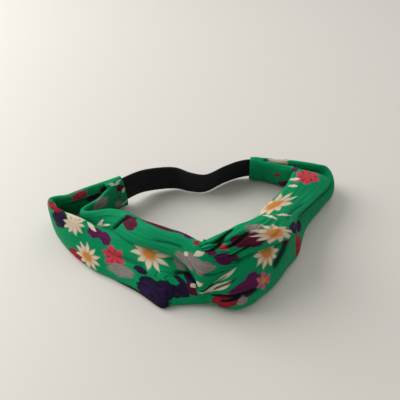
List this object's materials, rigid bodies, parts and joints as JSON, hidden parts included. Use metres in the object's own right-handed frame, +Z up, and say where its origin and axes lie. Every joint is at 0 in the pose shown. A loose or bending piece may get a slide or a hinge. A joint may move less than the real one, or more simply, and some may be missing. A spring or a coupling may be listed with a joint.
{
  "type": "knotted headband",
  "caption": "Fabric headband: printed satin tubes looped through each other in a front knot, gathered into sleeves and joined behind by flat elastic.",
  "frame": {"origin": "on the surface that the band lies on, under the middle of its bounding box", "axes": "+X to the right along the band as it is seen from the knot's side, -Y towards the side that the knot is on, +Z up across the band's width"},
  "size_m": [0.1982, 0.1203, 0.0471],
  "materials": {
    "printed_satin": "satin weave, green with a floral print",
    "black_elastic": "matte ribbed elastic webbing",
    "sewing_thread": "matte spun polyester"
  },
  "bodies": {
    "left_half": {"left_crown": "printed_satin", "left_front_arm": "printed_satin", "left_back_arm": "printed_satin", "left_sleeve": "printed_satin", "left_stitches": "sewing_thread", "elastic_band": "black_elastic"},
    "right_half": {"right_crown": "printed_satin", "right_back_arm": "printed_satin", "right_front_arm": "printed_satin", "right_sleeve": "printed_satin", "right_stitches": "sewing_thread"}
  },
  "joints": [
    {"name": "knot_pivot", "type": "hinge", "parent": "left_half", "child": "right_half", "pos_m": [0.0315, -0.0346, 0.024], "axis": [0, 0, -1], "range_deg": [-15, 40], "stiffness_Nm_per_rad": 0.4, "deforming": ["elastic_band"]}
  ]
}
